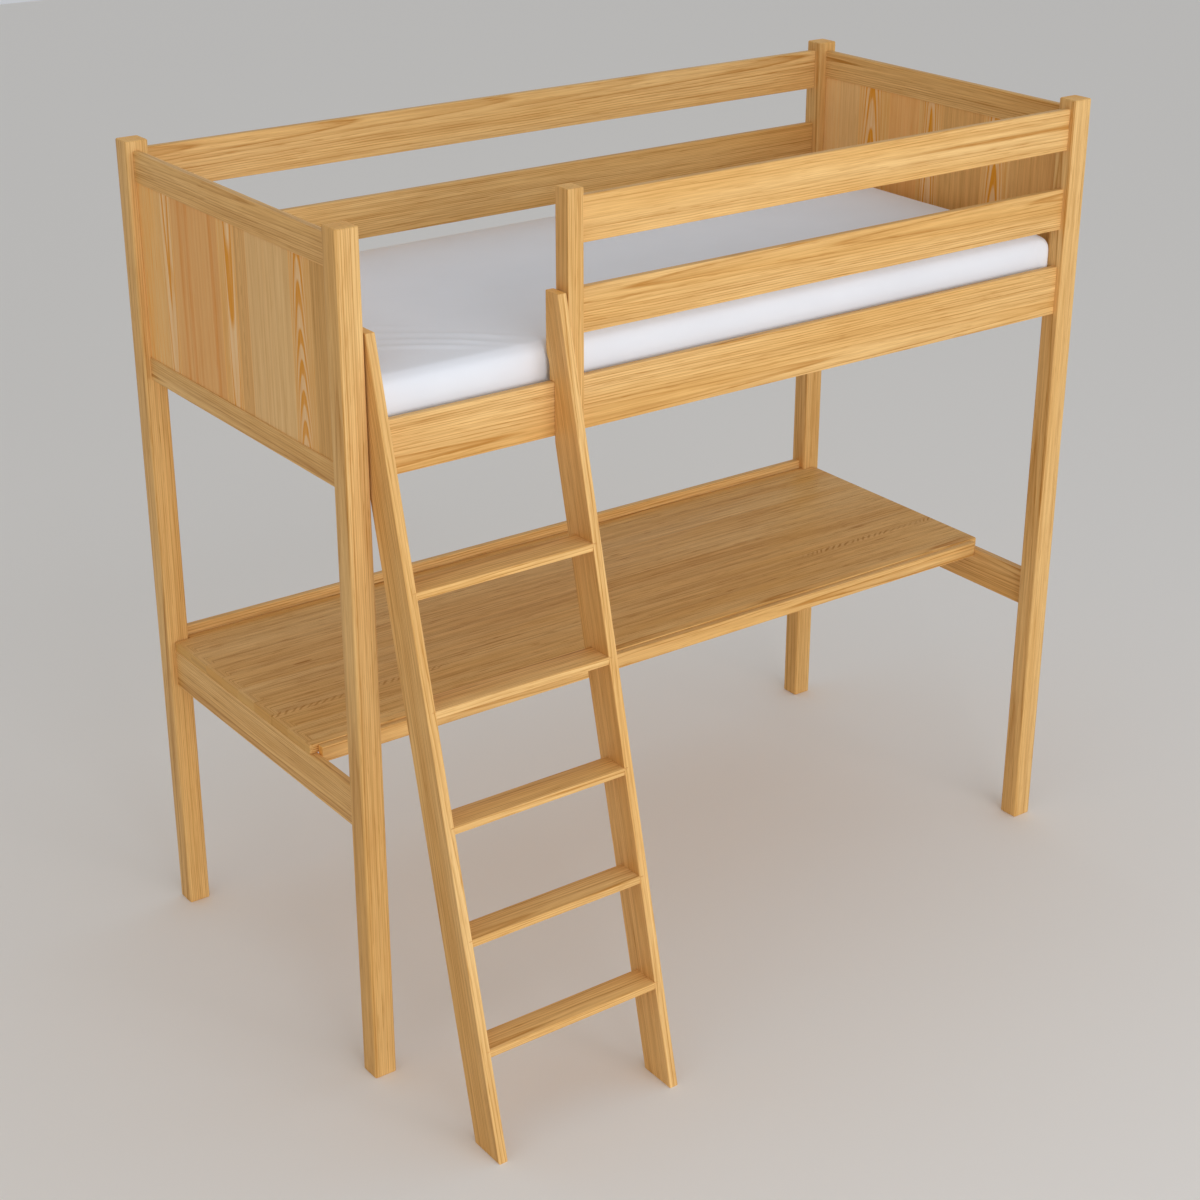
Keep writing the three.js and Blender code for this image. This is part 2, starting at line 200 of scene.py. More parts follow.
def add_sky():
    """A plain pale sky, dimmer and warmer low down on the left, as beside a room's inner wall."""
    world = bpy.data.worlds.new("studio")
    world.use_nodes = True
    sky = Nodes(world.node_tree)
    way = sky.node("TexCoord", {})["Generated"]
    toward_left = sky.vector("DOT_PRODUCT", way, LEFT_SKY_WAY)
    left = sky.spread(toward_left, *LEFT_SKY_FADE, smooth=True)
    background = world.node_tree.nodes["Background"]
    sky.feed(background.inputs["Color"], sky.blend(left, SKY_COLOUR, LEFT_SKY_COLOUR))
    background.inputs["Strength"].default_value = SKY_STRENGTH
    bpy.context.scene.world = world


# ---- Wood ----------------------------------------------------------------------------------------

LACQUER = {
    "Coat_Weight": 0.02,
    "Coat_Roughness": 0.3,
    "Specular_IOR_Level": 0.22,
    "Specular_Tint": (1.0, 0.84, 0.6, 1),
}

# End grain shows where the surface faces along the board.
END_FACING = (0.6, 0.9)
END_DARKNESS = 0.35  # share of the grain's contrast that is left there
END_TINT = (1.09, 0.96, 0.68)
DESK_END_TINT = (0.90, 0.82, 0.64)

# How many times each layer of grain repeats in a metre, along, across and through a board.
LONG_WAVE = (1.6, 7, 7)
SHORT_WAVE = (11, 30, 30)
FIBRE = (9, 400, 400)
STREAK = (2.2, 120, 120)
FLECK = (16, 300, 300)
BROAD = (0.9, 13, 13)

# How far the long and the short wave push a ring aside, and how often its width changes.
LONG_SWING = 16 * MM
SHORT_SWING = 2.4 * MM
RING_CHANGES = 55.0  # per metre of radius

# The range of its noise, which is 0.5 on average, over which each layer shows, and what it does.
FIBRE_RANGE = (0.38, 0.72)
FIBRE_DARKNESS = 0.36
STREAK_RANGE = (0.42, 0.75)
STREAK_DARKNESS = 0.34
FLECK_RANGE = (0.62, 0.74)
BROAD_RANGE = (0.35, 0.7)
WARMTH = 0.8
TONE_RANGE = (0.25, 0.75)
STREAK_TONE = (1.04, 0.97)
ROUGHNESS = (0.46, 0.58)
# Painted highlight on the long edges: the streak noise range where it shows, and how much it
# lightens.
EDGE_HIGHLIGHT_RANGE = (0.35, 0.6)
EDGE_HIGHLIGHT_LIGHTNESS = 0.10

BOARD_TONE = (0.96, 1.04)
EDGE_FADE = (0.5 * MM, 4.5 * MM)
BAND_FADE = (2 * MM, 11 * MM)
BAND_DARKNESS = 0.5
RING_POLISH = 0.07
RING_RELIEF = 0.4  # beside the fibres' relief of 1
RELIEF = 0.35 * MM
RELIEF_STRENGTH = 0.22

# The rings are clear round the pith and fade to faint between these shares of a figure's reach.
REACH_FADE = (0.6, 1.5)
FAINT_RINGS = 0.15
BLUNT_REACH = 12.5 * MM  # where a blunted arch is as wide as a plain one

# A usual board: where its pith lies, in half widths and half thicknesses, and its rings.
PITH_ACROSS = 1.5
PITH_THROUGH = (2.2, 4.2)
LEAST_HALF_THICKNESS = 12 * MM
RING_WIDTH = (3.2, 5.2)  # mm
TAPER = 0.012

STILE_HALF_DEPTH = 46 * MM  # square to the front edge of a ladder stile

# The grey of one growth ring as (place, level) stops, from its early wood to its late wood.
RING_PROFILE = [(0.0, 0.2), (0.05, 0.0), (0.5, 0.08), (0.78, 0.4), (0.92, 1.0), (1.0, 0.2)]


def flame_profile(share):
    """A ring whose dark late wood fills the last share of it, with a crisp outer edge."""
    pale = [(0.0, 0.4), (0.04, 0.0), (0.9 - share, 0.03)]
    return pale + [(1.0 - share, 0.75), (0.95, 1.0), (1.0, 0.4)]


def tinted(early, late, warm, contrast, fleck=0.30, end=END_TINT):
    """A wood's look: the colours of its early, late and warmer wood, how strong its rings and its
    flecks are, and what end grain multiplies the colour by."""
    look = {"early": (*early, 1), "late": (*late, 1), "warm": (*warm, 1)}
    return look | {"contrast": contrast, "fleck": fleck, "end": end}


PINE = tinted((0.92, 0.605, 0.252), (0.53, 0.240, 0.048), (0.82, 0.470, 0.148), 0.85)
DESK_PINE = tinted(
    (0.90, 0.590, 0.236), (0.48, 0.200, 0.028), (0.80, 0.450, 0.130), 1.0, 0.55, DESK_END_TINT
)
BARE_PINE = tinted((0.76, 0.56, 0.32), (0.58, 0.36, 0.16), (0.70, 0.47, 0.24), 0.5)


class Board:
    """Where a board is and how its grain lies: its centre, three directions and half sizes."""

    def __init__(self, node, grain):
        low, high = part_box(node)
        size = dict(zip("xyz", high - low))
        across, through = sorted((a for a in "xyz" if a != grain), key=lambda a: -size[a])
        self.name = node
        self.centre = (low + high) / 2
        self.along = AXES[grain]
        self.across = AXES[across]
        self.through = AXES[through]
        self.half_across = size[across] / 2
        self.half_through = size[through] / 2


def leaning_board(node):
    """A ladder stile: its grain follows its straight front edge."""
    board = Board(node, "z")
    low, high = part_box(node)
    post_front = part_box("post_front_left")[0].y
    board.along = Vector((0, post_front - low.y, high.z)).normalized()
    board.through = AXES["x"]
    board.across = board.through.cross(board.along)
    board.half_through = (high.x - low.x) / 2
    board.half_across = STILE_HALF_DEPTH
    middle = Vector(((low.x + high.x) / 2, (low.y + post_front) / 2, high.z / 2))
    board.centre = middle - board.across * board.half_across
    return board


class Figure:
    """How the growth rings cross a board. Heart is the pith's place across and through the board,
    ring is a ring's width, and taper is how fast the radius shrinks along the board. Phase shifts
    the rings, reach is how far from the pith they stay clear, wander scales their waves, and uneven
    varies their widths. Blunt flattens the tips of the arches, and faintest is how dark the
    faintest ring is. Beyond slow_from along the board, the arches follow each other at the slow
    share of their usual rate."""

    def __init__(self, heart, ring, taper=0.0, phase=0.0, reach=1.0, wander=1.0, uneven=1.2,
                 profile=RING_PROFILE, blunt=1.0, faintest=0.35, slow_from=0.0, slow=1.0):
        self.heart = heart
        self.ring = ring
        self.taper = taper
        self.phase = phase
        self.reach = reach
        self.wander = wander
        self.uneven = uneven
        self.profile = profile
        self.blunt = blunt
        self.faintest = faintest
        self.slow_from = slow_from
        self.slow = slow


def usual_figure(board, draw):
    """Mostly straight grain, with the pith well outside the board."""
    half_through = max(board.half_through, LEAST_HALF_THICKNESS)
    heart_across = draw.uniform(-PITH_ACROSS, PITH_ACROSS) * board.half_across
    heart_through = draw.choice((-1, 1)) * draw.uniform(*PITH_THROUGH) * half_through
    ring = draw.uniform(*RING_WIDTH) * MM
    return Figure((heart_across, heart_through), ring, taper=draw.uniform(-TAPER, TAPER))


def grain_point(shader, board):
    """Object coordinates as (along, across, through), from the middle of the board."""
    place = shader.node("TexCoord", {})["Object"]
    offset = shader.vector("SUBTRACT", place, tuple(board.centre))
    ways = (board.along, board.across, board.through)
    parts = [shader.vector("DOT_PRODUCT", offset, tuple(way)) for way in ways]
    return parts, shader.node("CombineXYZ", {"X": parts[0], "Y": parts[1], "Z": parts[2]})[0]


def growth_rings(shader, parts, point, figure, shift):
    """0 in each ring's pale early wood and 1 in its dark late wood, and how near the heart is."""
    long_wave = shader.noise(point, LONG_WAVE, shift)
    short_wave = shader.noise(point, SHORT_WAVE, shift, detail=3.0)
    swing = LONG_SWING * figure.wander
    wander = shader.math("MULTIPLY_ADD", long_wave, swing, -swing / 2)
    wander = shader.math("MULTIPLY_ADD", short_wave, SHORT_SWING * figure.wander, wander)
    across = shader.math("SUBTRACT", parts[1], figure.heart[0])
    from_heart = shader.math("ABSOLUTE", across)
    across = shader.math("ADD", across, wander)
    if figure.blunt != 1.0:
        share = shader.math("DIVIDE", shader.math("ABSOLUTE", across), BLUNT_REACH)
        across = shader.math("MULTIPLY", shader.math("POWER", share, figure.blunt), BLUNT_REACH)
    through = shader.math("SUBTRACT", parts[2], figure.heart[1])
    squares = shader.math("MULTIPLY_ADD", across, across, shader.math("MULTIPLY", through, through))
    along = parts[0]
    if figure.slow != 1.0:
        beyond = shader.math("SUBTRACT", along, figure.slow_from)
        slowed = shader.math("MULTIPLY_ADD", beyond, figure.slow, figure.slow_from)
        along = shader.math("MINIMUM", along, slowed)
    radius = shader.math("MULTIPLY_ADD", along, -figure.taper, shader.math("SQRT", squares))
    inputs = {"W": radius, "Scale": RING_CHANGES, "Detail": 1.0}
    unevenness = shader.node("TexNoise", inputs, noise_dimensions="1D")
    turns = shader.math("MULTIPLY_ADD", radius, 1 / figure.ring, figure.phase)
    turns = shader.math("MULTIPLY_ADD", unevenness[0], figure.uneven, turns)
    level = shader.curve(shader.math("FRACT", turns), figure.profile)
    whole = shader.math("FLOOR", turns)
    depth = shader.node("TexWhiteNoise", {"W": whole}, noise_dimensions="1D")["Value"]
    level = shader.math("MULTIPLY", level, shader.spread(depth, 0, 1, figure.faintest, 1.0))
    clear, faint = (share * figure.reach for share in REACH_FADE)
    near = shader.spread(from_heart, clear, faint, 1.0, FAINT_RINGS, smooth=True)
    return shader.math("MULTIPLY", level, near), near


def edge_level(shader, parts, board):
    """1 on the board's long edges, falling to 0 a few millimetres in: where the painted edge
    highlight lies.
    """
    across = shader.math("SUBTRACT", board.half_across, shader.math("ABSOLUTE", parts[1]))
    through = shader.math("SUBTRACT", board.half_through, shader.math("ABSOLUTE", parts[2]))
    inward = shader.math("MAXIMUM", across, through)
    return shader.spread(inward, *EDGE_FADE, 1.0, 0.0, smooth=True)


def end_grain(shader, board):
    """1 on the sawn ends of a board and 0 on its sides."""
    normal = shader.node("TexCoord", {})["Normal"]
    facing = shader.math("ABSOLUTE", shader.vector("DOT_PRODUCT", normal, tuple(board.along)))
    return shader.spread(facing, *END_FACING)


def bands_level(shader, parts, bands):
    """How far a point lies in one of the broad, soft, darker bands that run along a board."""
    level = 0.0
    for place in bands:
        off = shader.math("ABSOLUTE", shader.math("SUBTRACT", parts[1], place))
        band = shader.spread(off, *BAND_FADE, BAND_DARKNESS, 0.0, smooth=True)
        level = shader.math("ADD", level, band)
    return level


def wood(board, look, figure=None, bend=None, bands=(), marks=None):
    """Lacquered wood for one board: growth rings, fibres, tone, a painted highlight along the long
    edges and darker end grain.
    """
    draw = random.Random("wood " + board.name)
    usual = usual_figure(board, draw)
    shift = tuple(draw.uniform(0, 90) for _ in range(3))
    shader = Shader("wood_" + board.name)
    parts, point = grain_point(shader, board)
    marked = marks(shader, parts, board) if marks else 0.0
    if bend:
        parts, point = bend(shader, parts, board)
    late, near = growth_rings(shader, parts, point, figure or usual, shift)
    fibre = shader.noise(point, FIBRE, shift)
    streak = shader.noise(point, STREAK, shift)
    fleck = shader.noise(point, FLECK, shift, detail=1.0)
    broad = shader.noise(point, BROAD, shift, detail=1.0)

    dark = shader.math("MULTIPLY", late, look["contrast"])
    dark = shader.math("ADD", dark, shader.spread(fibre, *FIBRE_RANGE, 0.0, FIBRE_DARKNESS))
    dark = shader.math("ADD", dark, shader.spread(streak, *STREAK_RANGE, 0.0, STREAK_DARKNESS))
    dark = shader.math("ADD", dark, shader.spread(fleck, *FLECK_RANGE, 0.0, look["fleck"]))
    dark = shader.math("ADD", dark, shader.math("ADD", marked, bands_level(shader, parts, bands)))
    end = end_grain(shader, board)
    dark = shader.math("MULTIPLY", dark, shader.spread(end, 0, 1, 1.0, END_DARKNESS))
    warmth = shader.spread(broad, *BROAD_RANGE, 0.0, WARMTH)
    if figure:
        warmth = shader.math("SUBTRACT", 1.0, near)
    colour = shader.blend(warmth, look["early"], look["warm"])
    colour = shader.blend(shader.math("MINIMUM", dark, 1.0), colour, look["late"])
    tone = draw.uniform(*BOARD_TONE)
    tone = shader.spread(streak, *TONE_RANGE, *(tone * share for share in STREAK_TONE))
    # Painted highlight: the long edges are lightened where the streak noise is high, as if light
    # caught their rounding.
    edge_highlight = shader.spread(streak, *EDGE_HIGHLIGHT_RANGE)
    edge_highlight = shader.math("MULTIPLY", edge_level(shader, parts, board), edge_highlight)
    tone = shader.math("MULTIPLY_ADD", edge_highlight, EDGE_HIGHLIGHT_LIGHTNESS, tone)
    colour = shader.blend(end, colour, shader.vector("MULTIPLY", colour, look["end"]))
    colour = shader.vector("SCALE", colour)
    shader.feed(colour.node.inputs["Scale"], tone)

    rough = shader.spread(fibre, *TONE_RANGE, *ROUGHNESS)
    rough = shader.math("MULTIPLY_ADD", late, -RING_POLISH, rough)
    shader.bump(shader.math("MULTIPLY_ADD", late, RING_RELIEF, fibre), RELIEF_STRENGTH, RELIEF)
    return shader.finish(Base_Color=colour, Roughness=rough, **LACQUER)


# ---- End panels: solid boards glued edge to edge, each with its own figure -----------------------

TAN = tinted((0.89, 0.540, 0.205), (0.63, 0.30, 0.070), (0.85, 0.49, 0.18), 0.45)
PALE = tinted((0.96, 0.650, 0.300), (0.77, 0.43, 0.14), (0.92, 0.59, 0.26), 0.3)
SALMON = tinted((0.93, 0.550, 0.215), (0.84, 0.35, 0.075), (0.91, 0.52, 0.19), 0.3)
FLAME = tinted((0.98, 0.700, 0.390), (0.84, 0.345, 0.020), (0.89, 0.555, 0.215), 1.0)
DEEP = tinted((0.83, 0.500, 0.180), (0.58, 0.28, 0.062), (0.79, 0.47, 0.16), 0.5)

STAVE_EDGE = 0.35 * MM
TIP_TURN = 0.98  # how far into its ring the tip of a flame's first arch lies
UP, DOWN = -1, 1


class Flame:
    """Nested arches of late wood. Middle is a share of the panel's depth from the back. Tip, one
    arch's height, and spacing, from arch to arch, are shares of the panel's height. Ring, a ring's
    width, and pith, how deep the pith lies under the face, are in millimetres. Way is where the
    arches point, and share is how much of each ring is dark. Above the tip, a slow below 1 spreads
    the arches out."""

    def __init__(self, middle, tip, spacing, ring, way, pith=4, share=0.35, blunt=1, slow=1):
        self.middle = middle
        self.tip = tip
        self.spacing = spacing
        self.ring = ring * MM
        self.way = way
        self.pith = pith * MM
        self.share = share
        self.blunt = blunt
        self.slow = slow


class Stave:
    """One board of a panel: where it ends, as a share of the depth from the back, its look, its
    flame, how far that reaches in metres, and its darker bands, again as shares of the depth."""

    def __init__(self, end, look, flame=None, reach=0.028, bands=()):
        self.end = end
        self.look = look
        self.flame = flame
        self.reach = reach
        self.bands = bands


LEFT_STAVES = [
    Stave(0.115, TAN),
    Stave(0.192, FLAME, Flame(0.161, 0.38, 1.09, 20, DOWN, share=0.24), 0.020),
    Stave(0.440, SALMON, bands=(0.238, 0.275, 0.402)),
    Stave(0.527, FLAME, Flame(0.493, 0.47, 0.89, 14, DOWN, pith=36, share=0.41, blunt=2), 0.020),
    Stave(0.582, TAN, Flame(0.549, 0.45, 0.12, 3.4, UP), 0.014),
    Stave(0.795, PALE),
    Stave(0.892, FLAME, Flame(0.834, 0.613, 0.154, 5.2, UP, pith=36, share=0.45, slow=0.65), 0.022),
    Stave(1.0, DEEP),
]
RIGHT_STAVES = [
    Stave(0.075, DEEP),
    Stave(0.165, PALE),
    Stave(0.300, FLAME, Flame(0.220, 0.73, 0.30, 7.5, UP, pith=30), 0.030),
    Stave(0.425, SALMON),
    Stave(0.520, FLAME, Flame(0.475, 0.95, 0.60, 6, UP, pith=20), 0.026),
    Stave(0.690, TAN),
    Stave(0.800, FLAME, Flame(0.742, 0.71, 0.35, 6.5, UP, pith=30), 0.026),
    Stave(1.0, TAN),
]


def stave_board(panel, index, near, far):
    """The Board of one stave. Its through direction points into the wood from its -X face."""
    board = Board(panel, "z")
    board.name = f"{panel}_{index}"
    board.centre = Vector((board.centre.x, (near + far) / 2, board.centre.z))
    board.half_across = (near - far) / 2
    board.through = AXES["x"]
    return board


def stave_figure(stave, board, panel_back, panel_depth, half_height):
    """The Figure that puts the stave's flame in its place on the panel."""
    flame = stave.flame
    place = panel_back - flame.middle * panel_depth
    heart = (place - board.centre.y, -board.half_through - flame.pith)
    taper = flame.way * flame.ring / (flame.spacing * 2 * half_height)
    tip_height = (2 * flame.tip - 1) * half_height
    phase = TIP_TURN - (flame.pith - taper * tip_height) / flame.ring
    return Figure(
        heart, flame.ring, taper, phase, stave.reach, wander=0.3, uneven=0.0,
        profile=flame_profile(flame.share), blunt=flame.blunt, faintest=0.8,
        slow_from=tip_height, slow=flame.slow,
    )


def stave_mesh(mesh, low, high, slot):
    """Adds one stave, a box with its long edges just broken, to a bmesh."""
    made = bmesh.ops.create_cube(mesh, size=1.0)["verts"]
    middle, size = (low + high) / 2, high - low
    for vertex in made:
        vertex.co = Vector(middle[i] + vertex.co[i] * size[i] for i in range(3))
    edges = {edge for vertex in made for edge in vertex.link_edges}
    upright = [e for e in edges if abs(e.verts[0].co.z - e.verts[1].co.z) > size.z / 2]
    bmesh.ops.bevel(mesh, geom=upright, offset=STAVE_EDGE, segments=1, affect="EDGES")
    for face in mesh.faces:
        if face.material_index == 0 and not face.tag:
            face.material_index = slot
            face.tag = True


def add_end_panel(side, staves):
    """Replaces a plain CAD panel with its glued boards, whose figures are meant for the -X face."""
    node = "end_panel_" + side
    low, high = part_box(node)
    depth = high.y - low.y
    mesh = bmesh.new()
    data = bpy.data.meshes.new(node + "_boards")
    near = high.y
    for index, stave in enumerate(staves):
        far = high.y - stave.end * depth
        board = stave_board(node, index, near, far)
        figure = None
        if stave.flame:
            figure = stave_figure(stave, board, high.y, depth, (high.z - low.z) / 2)
        bands = [high.y - band * depth - board.centre.y for band in stave.bands]
        data.materials.append(wood(board, stave.look, figure, bands=bands))
        stave_mesh(mesh, Vector((low.x, far, low.z)), Vector((high.x, near, high.z)), index)
        near = far
    mesh.to_mesh(data)
    mesh.free()
    panel = bpy.data.objects.new(node + "_boards", data)
    bpy.context.scene.collection.objects.link(panel)
    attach(panel, "frame")
    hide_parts(node)


# ---- Desk top figure -----------------------------------------------------------------------------

PLANK = 80 * MM
TURN = 28 * MM
TURN_SOFTNESS = 8 * MM
RIPPLE_PLACE = -0.49  # as a share of half the desk's depth
RIPPLE_WIDTH = 12 * MM
RIPPLE_CORE = 0.2 * RIPPLE_WIDTH
RIPPLE_PITCH = 20 * MM
RIPPLE_SLANT = 1.3
RIPPLE_WANDER = 60 * MM
RIPPLE_START = 0.52  # from here outwards, as a share of half the desk's length
RIPPLE_FADE = 100 * MM
RIPPLE_DARKNESS = 0.8
DESK_KNOT = (-0.827, 0.042)
KNOT_HALF_LENGTH = 28 * MM
KNOT_HALF_WIDTH = 4 * MM
KNOT_DARKNESS = 1.5
PLANK_SHIFT = 3.0  # the most that a plank's figure is moved along the plank
PLANK_DEPTH = 30 * MM  # and through it


def desk_marks(shader, parts, board):
    """A line of short slanted strokes towards both ends of the desk, and one small dark knot."""
    off = shader.math("SUBTRACT", parts[1], RIPPLE_PLACE * board.half_across)
    distance = shader.math("ABSOLUTE", off)
    strip = shader.spread(distance, RIPPLE_CORE, RIPPLE_WIDTH, 1.0, 0.0, smooth=True)
    half_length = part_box(board.name)[1].x
    out = shader.math("ABSOLUTE", parts[0])
    start = RIPPLE_START * half_length
    level = shader.spread(out, start, start + RIPPLE_FADE, 0.0, RIPPLE_DARKNESS)
    strip = shader.math("MULTIPLY", strip, level)
    point = shader.node("CombineXYZ", {"X": parts[0], "Y": parts[1], "Z": parts[2]})[0]
    drift = shader.noise(point, stretch=(9, 9, 9), shift=(4, 8, 15))
    strip = shader.math("MULTIPLY", strip, shader.spread(drift, 0.35, 0.62, 0.25, 1.0))
    slanted = shader.math("MULTIPLY_ADD", off, -RIPPLE_SLANT, parts[0])
    slanted = shader.math("MULTIPLY_ADD", drift, RIPPLE_WANDER, slanted)
    wave = shader.math("SINE", shader.math("MULTIPLY", slanted, 2 * math.pi / RIPPLE_PITCH))
    strokes = shader.math("MULTIPLY", strip, shader.spread(wave, -0.1, 0.9))

    along = shader.math("SUBTRACT", parts[0], DESK_KNOT[0])
    along = shader.math("DIVIDE", along, KNOT_HALF_LENGTH)
    across = shader.math("SUBTRACT", parts[1], DESK_KNOT[1])
    across = shader.math("DIVIDE", across, KNOT_HALF_WIDTH)
    squares = shader.math("MULTIPLY_ADD", along, along, shader.math("MULTIPLY", across, across))
    knot = shader.spread(squares, 0.2, 1.0, KNOT_DARKNESS, 0.0, smooth=True)
    return shader.math("ADD", strokes, knot)


def desk_bend(shader, parts, board):
    """The desk top is glued from planks, and near its left end their grain turns to the front."""
    low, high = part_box(board.name)
    half_length = (high.x - low.x) / 2
    planks = shader.math("DIVIDE", parts[1], PLANK)
    plank = shader.math("FLOOR", planks)
    behind = shader.math("MULTIPLY_ADD", shader.math("FRACT", planks), -PLANK, PLANK)
    from_end = shader.math("MULTIPLY", shader.math("ADD", parts[0], half_length), PLANK / TURN)
    bent = shader.math("SMOOTH_MIN", behind, from_end, TURN_SOFTNESS)
    across = shader.math("MULTIPLY_ADD", plank, PLANK, bent)
    draw = shader.node("TexWhiteNoise", {"W": plank}, noise_dimensions="1D")["Color"]
    red, green, _ = shader.node("SeparateColor", {"Color": draw})
    along = shader.math("MULTIPLY_ADD", red, PLANK_SHIFT, parts[0])
    through = shader.math("MULTIPLY_ADD", green, PLANK_DEPTH, parts[2])
    point = shader.node("CombineXYZ", {"X": along, "Y": across, "Z": through})[0]
    return [parts[0], across, through], point


# ---- Metal and cloth -----------------------------------------------------------------------------

ZINC_DULL = (0.50, 0.50, 0.50, 1)
ZINC_BRIGHT = (0.68, 0.67, 0.65, 1)
ZINC_ROUGHNESS = (0.28, 0.45)
COVER_SHADE = (0.855, 0.88, 0.92, 1)
COVER_WHITE = (0.885, 0.91, 0.95, 1)
COVER_ROUGHNESS = (0.82, 0.94)
MIDDLE = (0.3, 0.7)  # the range that most of a noise lies in
WEAVE_PITCH = 0.9 * MM
WEAVE_RELIEF = 0.25  # beside the uneven threads' relief of 1


def zinc():
    """Dull zinc plating for the bolts, nuts and screws."""
    shader = Shader("zinc")
    place = shader.node("TexCoord", {})["Object"]
    cloud = shader.noise(place, stretch=(160, 160, 160), shift=(3, 7, 11), detail=3.0)
    colour = shader.blend(cloud, ZINC_DULL, ZINC_BRIGHT)
    rough = shader.spread(cloud, *MIDDLE, *ZINC_ROUGHNESS)
    shader.bump(cloud, strength=0.1, distance=0.1 * MM)
    return shader.finish(Base_Color=colour, Roughness=rough, Metallic=1.0)


def cover_cloth():
    """A smooth woven cotton cover: fine threads, soft blotches and a little sheen."""
    shader = Shader("mattress_cover")
    place = shader.node("TexCoord", {})["Object"]
    x, y, z = shader.node("SeparateXYZ", {"Vector": place})
    turn = 2 * math.pi / WEAVE_PITCH
    warp = shader.math("SINE", shader.math("MULTIPLY", shader.math("ADD", x, z), turn))
    weft = shader.math("SINE", shader.math("MULTIPLY", shader.math("ADD", y, z), turn))
    weave = shader.math("MULTIPLY", warp, weft)
    slub = shader.noise(place, stretch=(90, 90, 90), shift=(5, 1, 9), detail=3.0)
    blotch = shader.noise(place, stretch=(5, 5, 5), shift=(2, 4, 6), detail=3.0)
    colour = shader.blend(shader.spread(blotch, *MIDDLE), COVER_SHADE, COVER_WHITE)
    rough = shader.spread(slub, *MIDDLE, *COVER_ROUGHNESS)
    height = shader.math("MULTIPLY_ADD", weave, WEAVE_RELIEF, slub)
    shader.bump(height, strength=0.25, distance=0.5 * MM)
    return shader.finish(
        Base_Color=colour, Roughness=rough, Sheen_Weight=0.15, Specular_IOR_Level=0.2
    )


# ---- Mattress ------------------------------------------------------------------------------------

WELD = 0.01 * MM
VOXEL = 14 * MM
SHRINK = 3 * MM
SWELL_CAP = 8 * MM
CLOTH_FRAMES = 20
CLOTH = {
    "quality": 6,
    "mass": 0.3,
    "tension_stiffness": 12,
    "compression_stiffness": 12,
    "bending_stiffness": 0.6,
    "use_pressure": True,
    "uniform_pressure_force": 4,
}
CLEARANCE = 1 * MM
BOTTOM_LIFT = 0.2 * MM

# Long shallow folds in the cover beside the ladder: where each starts and ends, from the mattress's
# front left corner, and its height. They run from the left end towards the guard post.
FOLDS = [
    ((0.125, 0.354), (0.330, 0.200), 1.5 * MM),
    ((0.120, 0.290), (0.495, 0.020), 4.2 * MM),
    ((0.105, 0.240), (0.430, 0.018), 5.0 * MM),
    ((0.090, 0.192), (0.375, 0.028), 4.5 * MM),
]
FOLD_WIDTH = 8 * MM
FOLD_FADE = 0.35  # share of a fold's length over which each end fades out
TOP_ONLY = 4  # power of a point's share of the height, by which the folds die away downwards

# How far the cover is let out at its ends and sides, and how much more in each corner.
END_FULLNESS = 4 * MM
SIDE_FULLNESS = 9 * MM
CORNER = 40 * MM
CORNER_FULLNESS = 0.5
NEIGHBOURS = [
    "post_front_left", "post_front_right", "post_back_left", "post_back_right",
    "guard_post", "ladder_stile_left", "ladder_stile_right",
]


def copy_of(node, name):
    mesh = frame["nodes"][node].data.copy()
    made = bpy.data.objects.new(name, mesh)
    bpy.context.scene.collection.objects.link(made)
    return made


def apply_modifier(obj, name):
    bpy.context.view_layer.objects.active = obj
    bpy.ops.object.modifier_apply(modifier=name)


def points_of(obj):
    found = np.empty(len(obj.data.vertices) * 3)
    obj.data.vertices.foreach_get("co", found)
    return found.reshape(-1, 3)


def set_points(obj, points):
    obj.data.vertices.foreach_set("co", points.ravel())
    obj.data.update()


def remesh(obj):
    """Gives the block an even mesh that can bend."""
    weld = obj.modifiers.new("weld", "WELD")
    weld.merge_threshold = WELD
    apply_modifier(obj, "weld")
    voxels = obj.modifiers.new("voxels", "REMESH")
    voxels.mode = "VOXEL"
    voxels.voxel_size = VOXEL
    apply_modifier(obj, "voxels")


def shrink(obj):
    normals = np.empty(len(obj.data.vertices) * 3)
    obj.data.vertices.foreach_get("normal", normals)
    set_points(obj, points_of(obj) - SHRINK * normals.reshape(-1, 3))


def swell(obj):
    """Blows the cover up a little as cloth, and holds each point within the cap."""
    before = points_of(obj)
    cloth = obj.modifiers.new("cloth", "CLOTH")
    for key, value in CLOTH.items():
        setattr(cloth.settings, key, value)
    cloth.settings.effector_weights.gravity = 0
    cloth.point_cache.frame_start = 1
    cloth.point_cache.frame_end = CLOTH_FRAMES
    for step in range(1, CLOTH_FRAMES + 1):
        bpy.context.scene.frame_set(step)
    apply_modifier(obj, "cloth")
    bpy.context.scene.frame_set(1)
    move = points_of(obj) - before
    length = np.linalg.norm(move, axis=1, keepdims=True)
    move *= np.minimum(1.0, SWELL_CAP / np.maximum(length, TINY))
    set_points(obj, before + move)


def fold(points, low, start, end, height):
    """Height of one fold over the top, fading out at both ends."""
    start = np.array([low.x + start[0], low.y + start[1]])
    run = np.array([low.x + end[0], low.y + end[1]]) - start
    length = np.linalg.norm(run)
    from_start = points[:, :2] - start
    share = from_start @ run / length**2
    off = (from_start[:, 0] * run[1] - from_start[:, 1] * run[0]) / length
    ends = np.clip(share / FOLD_FADE, 0, 1) * np.clip((1 - share) / FOLD_FADE, 0, 1)
    return height * ends * np.exp(-((off / FOLD_WIDTH) ** 2))


